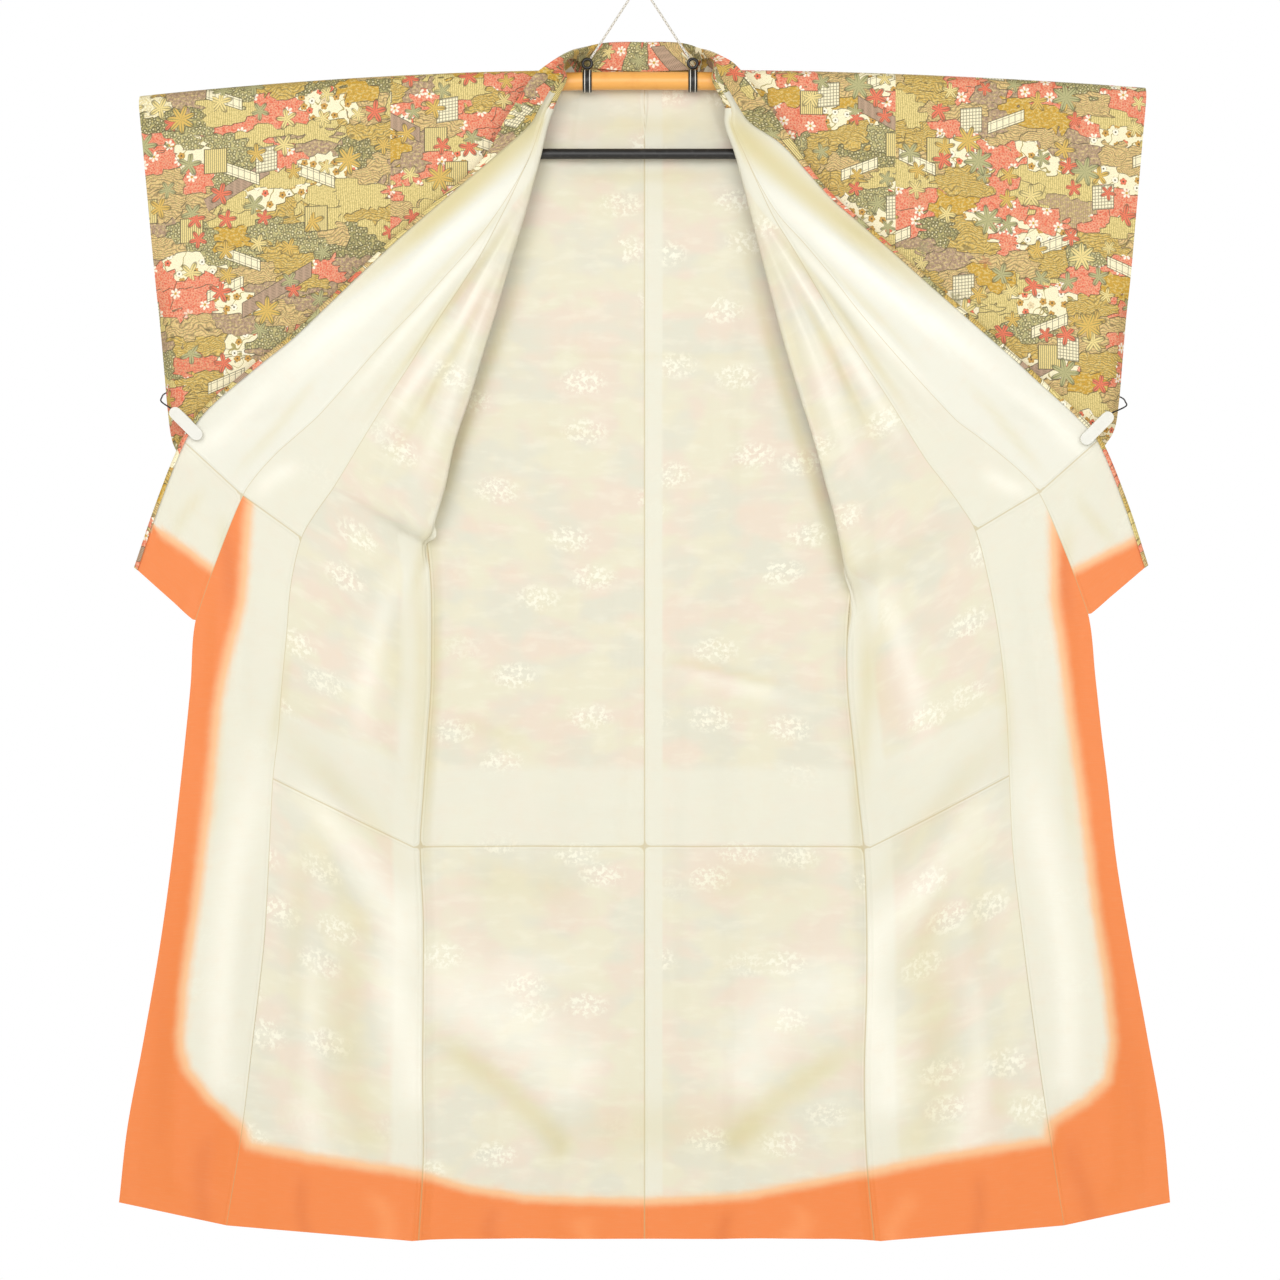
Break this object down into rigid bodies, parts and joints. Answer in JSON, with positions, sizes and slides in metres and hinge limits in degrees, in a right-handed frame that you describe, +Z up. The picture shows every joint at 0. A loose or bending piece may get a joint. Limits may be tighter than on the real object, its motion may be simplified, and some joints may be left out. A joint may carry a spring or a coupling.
{
  "type": "komon kimono hung on a bowed rod with a cord and ring",
  "caption": "Lined komon kimono hung on a bowed rod by a cord and ring, its fronts clipped open to show the lining.",
  "frame": {"origin": "inside top of the hanging ring, where a wall hook holds it", "axes": "+X to the right as seen from the opened front, +Y away from the viewer, +Z up"},
  "size_m": [1.3876, 0.0853, 1.6803],
  "materials": {
    "komon_silk": "soft matte silk crepe",
    "cream_lining": "smooth silk satin",
    "shaded_lining": "smooth silk",
    "rod_tan": "satin",
    "black_plastic": "gloss",
    "white_plastic": "gloss",
    "white_cord": "braided cord",
    "black_elastic": "round elastic"
  },
  "bodies": {
    "root": {"body_back_left": "komon_silk", "body_shoulder_left": "komon_silk", "body_front_left": "komon_silk", "body_skirt_left": "komon_silk", "okumi_left": "komon_silk", "sleeve_left": "komon_silk", "collar_left": "komon_silk", "lining_back_left": "cream_lining", "lining_front_left": "cream_lining", "okumi_lining_left": "cream_lining", "collar_lining_left": "cream_lining", "hakkake_back_left": "shaded_lining", "hakkake_front_left": "shaded_lining", "hakkake_okumi_left": "shaded_lining", "collar_end_lining_left": "shaded_lining", "end_bar_left": "black_plastic", "rod_ring_left": "black_plastic", "rod_hook_left": "black_plastic", "sling_cord_left": "white_cord", "clip_left": "white_plastic", "elastic_left": "black_elastic", "elastic_knot_left": "black_elastic", "body_back_right": "komon_silk", "body_shoulder_right": "komon_silk", "body_front_right": "komon_silk", "body_skirt_right": "komon_silk", "okumi_right": "komon_silk", "sleeve_right": "komon_silk", "collar_right": "komon_silk", "lining_back_right": "cream_lining", "lining_front_right": "cream_lining", "okumi_lining_right": "cream_lining", "collar_lining_right": "cream_lining", "hakkake_back_right": "shaded_lining", "hakkake_front_right": "shaded_lining", "hakkake_okumi_right": "shaded_lining", "collar_end_lining_right": "shaded_lining", "end_bar_right": "black_plastic", "rod_ring_right": "black_plastic", "rod_hook_right": "black_plastic", "sling_cord_right": "white_cord", "clip_right": "white_plastic", "elastic_right": "black_elastic", "elastic_knot_right": "black_elastic", "over_collar": "komon_silk", "rod": "rod_tan", "lower_rod": "black_plastic", "hang_ring": "black_plastic"}
  },
  "joints": []
}
